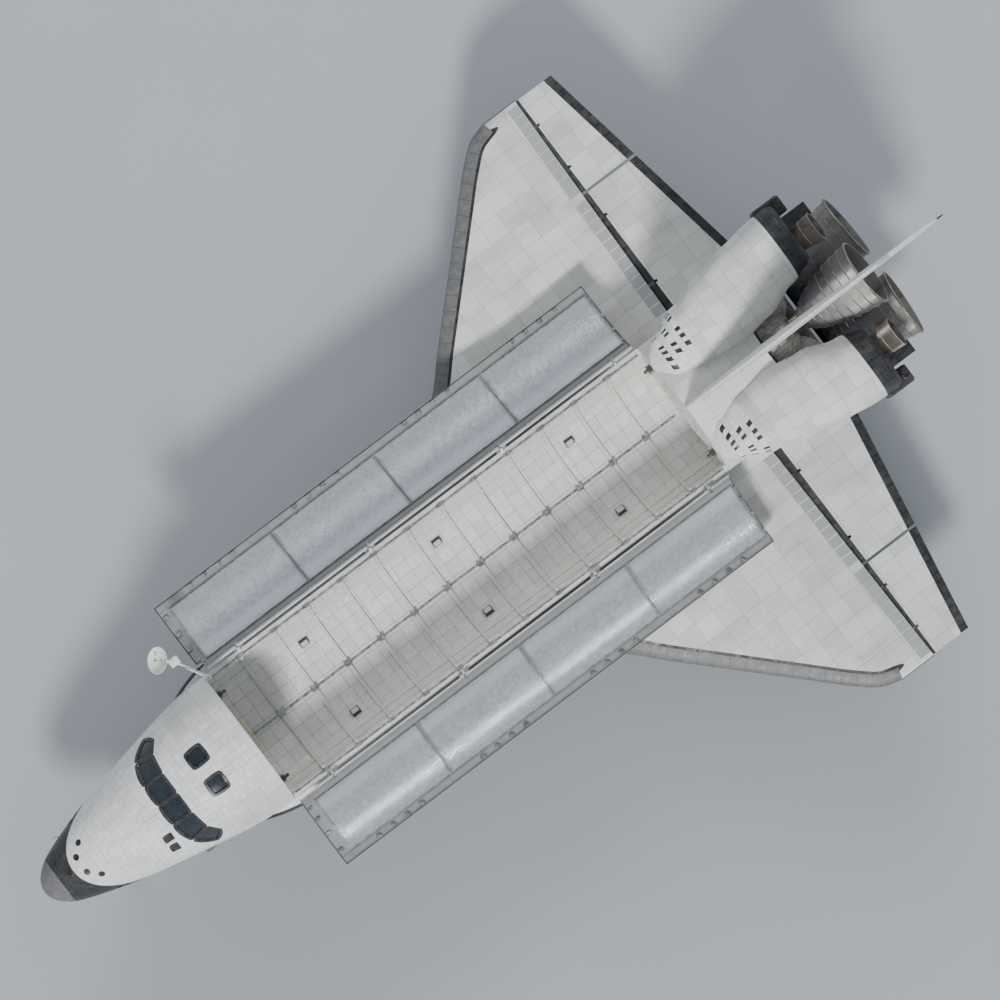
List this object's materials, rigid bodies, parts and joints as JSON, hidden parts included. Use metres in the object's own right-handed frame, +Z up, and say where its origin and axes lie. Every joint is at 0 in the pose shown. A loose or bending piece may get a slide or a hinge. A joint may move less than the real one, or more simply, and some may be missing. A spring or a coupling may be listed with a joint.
{
  "type": "winged orbital space shuttle",
  "caption": "Winged reusable orbital space shuttle, parked on its landing gear with the payload bay doors open and the dish antenna swung out.",
  "frame": {"origin": "on the ground, below the middle of the vehicle's length and width", "axes": "+X aft along the centre line, +Y to starboard, +Z up"},
  "size_m": [37.2452, 23.7916, 17.272],
  "materials": {
    "tile_white": "matt coated tiles and blankets",
    "tile_black": "satin glazed tiles",
    "carbon_edge": "matt reinforced carbon",
    "window_glass": "clear",
    "bay_liner": "woven liner",
    "radiator_face": "silvered film",
    "blanket": "quilted blanket",
    "bare_metal": "machined",
    "nozzle_metal": "heat stained",
    "gear_paint": "gloss paint",
    "tyre_rubber": "matt",
    "cabin_grey": "painted"
  },
  "bodies": {
    "airframe": {"nose_cap": "carbon_edge", "forward_fuselage": "tile_white", "windshield": "window_glass", "overhead_windows": "window_glass", "flight_deck": "cabin_grey", "cabin_bulkhead": "bay_liner", "mid_fuselage": "tile_white", "wing_left": "tile_white", "wing_right": "tile_white", "leading_edge_left": "carbon_edge", "leading_edge_right": "carbon_edge", "aft_fuselage": "tile_white", "pod_left": "blanket", "pod_right": "blanket", "pod_engine_left": "nozzle_metal", "pod_engine_right": "nozzle_metal", "fin": "tile_white", "main_leg_left": "gear_paint", "main_leg_right": "gear_paint", "main_gear_door_left": "tile_black", "main_gear_door_right": "tile_black", "nose_leg": "gear_paint", "nose_gear_door_left": "tile_black", "nose_gear_door_right": "tile_black"},
    "hatch": {"side_hatch": "tile_white"},
    "door_left": {"payload_door_left": "tile_white", "radiator_rear_left": "radiator_face"},
    "door_right": {"payload_door_right": "tile_white", "radiator_rear_right": "radiator_face"},
    "front_radiator_left": {"radiator_front_left": "radiator_face"},
    "front_radiator_right": {"radiator_front_right": "radiator_face"},
    "elevon_inner_left": {"elevon_inner_left": "tile_white"},
    "elevon_outer_left": {"elevon_outer_left": "tile_white"},
    "elevon_inner_right": {"elevon_inner_right": "tile_white"},
    "elevon_outer_right": {"elevon_outer_right": "tile_white"},
    "body_flap": {"body_flap": "tile_black"},
    "rudder": {"rudder_shaft": "bare_metal"},
    "speedbrake_left": {"rudder_panel_left": "tile_white"},
    "speedbrake_right": {"rudder_panel_right": "tile_white"},
    "engine_top": {"main_engine_top": "nozzle_metal"},
    "engine_left": {"main_engine_left": "nozzle_metal"},
    "engine_right": {"main_engine_right": "nozzle_metal"},
    "nose_steering": {"nose_steering": "gear_paint"},
    "nose_wheels": {"nose_hubs": "bare_metal", "nose_tyre_left": "tyre_rubber", "nose_tyre_right": "tyre_rubber"},
    "main_wheels_left": {"main_hubs_left": "bare_metal", "main_tyre_inner_left": "tyre_rubber", "main_tyre_outer_left": "tyre_rubber"},
    "main_wheels_right": {"main_hubs_right": "bare_metal", "main_tyre_inner_right": "tyre_rubber", "main_tyre_outer_right": "tyre_rubber"},
    "antenna": {"antenna_arm": "gear_paint", "antenna_dish": "gear_paint"}
  },
  "joints": [
    {"name": "payload_door_left", "type": "hinge", "parent": "airframe", "child": "door_left", "pos_m": [-0.7366, -2.65684, 7.0612], "axis": [-1, 0, 0], "range_deg": [0, 175.5]},
    {"name": "payload_door_right", "type": "hinge", "parent": "airframe", "child": "door_right", "pos_m": [-0.7366, 2.65684, 7.0612], "axis": [1, 0, 0], "range_deg": [0, 175.5]},
    {"name": "radiator_left", "type": "hinge", "parent": "door_left", "child": "front_radiator_left", "pos_m": [-5.1054, -3.00981, 6.67936], "axis": [1, 0, 0], "range_deg": [-35.5, 0]},
    {"name": "radiator_right", "type": "hinge", "parent": "door_right", "child": "front_radiator_right", "pos_m": [-5.1054, 3.00981, 6.67936], "axis": [-1, 0, 0], "range_deg": [-35.5, 0]},
    {"name": "elevon_inner_left", "type": "hinge", "parent": "airframe", "child": "elevon_inner_left", "pos_m": [10.5664, -5.461, 3.89643], "axis": [0, -0.9995, 0.0329], "range_deg": [-25, 40]},
    {"name": "elevon_outer_left", "type": "hinge", "parent": "airframe", "child": "elevon_outer_left", "pos_m": [10.5664, -9.906, 4.04262], "axis": [0, -0.9995, 0.0329], "range_deg": [-25, 40]},
    {"name": "elevon_inner_right", "type": "hinge", "parent": "airframe", "child": "elevon_inner_right", "pos_m": [10.5664, 5.461, 3.89643], "axis": [0, -0.9995, -0.0329], "range_deg": [-25, 40]},
    {"name": "elevon_outer_right", "type": "hinge", "parent": "airframe", "child": "elevon_outer_right", "pos_m": [10.5664, 9.906, 4.04262], "axis": [0, -0.9995, -0.0329], "range_deg": [-25, 40]},
    {"name": "body_flap", "type": "hinge", "parent": "airframe", "child": "body_flap", "pos_m": [14.2494, 0, 3.8354], "axis": [0, -1, 0], "range_deg": [-22.5, 11.7]},
    {"name": "rudder", "type": "hinge", "parent": "airframe", "child": "rudder", "pos_m": [13.63218, 0, 11.8618], "axis": [0.5721, 0, 0.8201], "range_deg": [-27.1, 27.1]},
    {"name": "speedbrake_right", "type": "hinge", "parent": "rudder", "child": "speedbrake_right", "pos_m": [13.63218, 0, 11.8618], "axis": [0.5721, 0, 0.8201], "range_deg": [0, 49.3]},
    {"name": "speedbrake_left", "type": "hinge", "parent": "rudder", "child": "speedbrake_left", "pos_m": [13.63218, 0, 11.8618], "axis": [-0.5721, 0, -0.8201], "range_deg": [0, 49.3]},
    {"name": "engine_top_pitch", "type": "hinge", "parent": "airframe", "child": "engine_top", "pos_m": [12.0396, 0, 7.7216], "axis": [0, -1, 0], "range_deg": [-10.5, 10.5]},
    {"name": "engine_left_pitch", "type": "hinge", "parent": "airframe", "child": "engine_left", "pos_m": [12.6238, -1.3462, 5.17144], "axis": [0, -1, 0], "range_deg": [-10.5, 10.5]},
    {"name": "engine_right_pitch", "type": "hinge", "parent": "airframe", "child": "engine_right", "pos_m": [12.6238, 1.3462, 5.17144], "axis": [0, -1, 0], "range_deg": [-10.5, 10.5]},
    {"name": "nose_steering", "type": "hinge", "parent": "airframe", "child": "nose_steering", "pos_m": [-15.0876, 0, 1.7018], "axis": [0, 0, 1], "range_deg": [-10, 10]},
    {"name": "nose_wheels", "type": "hinge", "parent": "nose_steering", "child": "nose_wheels", "pos_m": [-15.0876, 0, 0.4064], "axis": [0, 1, 0], "continuous": true},
    {"name": "main_wheels_left", "type": "hinge", "parent": "airframe", "child": "main_wheels_left", "pos_m": [5.1054, -3.4544, 0.56515], "axis": [0, 1, 0], "continuous": true},
    {"name": "main_wheels_right", "type": "hinge", "parent": "airframe", "child": "main_wheels_right", "pos_m": [5.1054, 3.4544, 0.56515], "axis": [0, 1, 0], "continuous": true},
    {"name": "side_hatch", "type": "hinge", "parent": "airframe", "child": "hatch", "pos_m": [-13.1826, -2.2606, 5.14604], "axis": [1, 0, 0], "range_deg": [0, 90]},
    {"name": "antenna_swing", "type": "hinge", "parent": "airframe", "child": "antenna", "pos_m": [-9.779, 2.4384, 7.4168], "axis": [0, 0, -1], "range_deg": [0, 179]}
  ],
  "couplings": [
    {"joint": "speedbrake_left", "follows": "speedbrake_right", "ratio": 1}
  ]
}
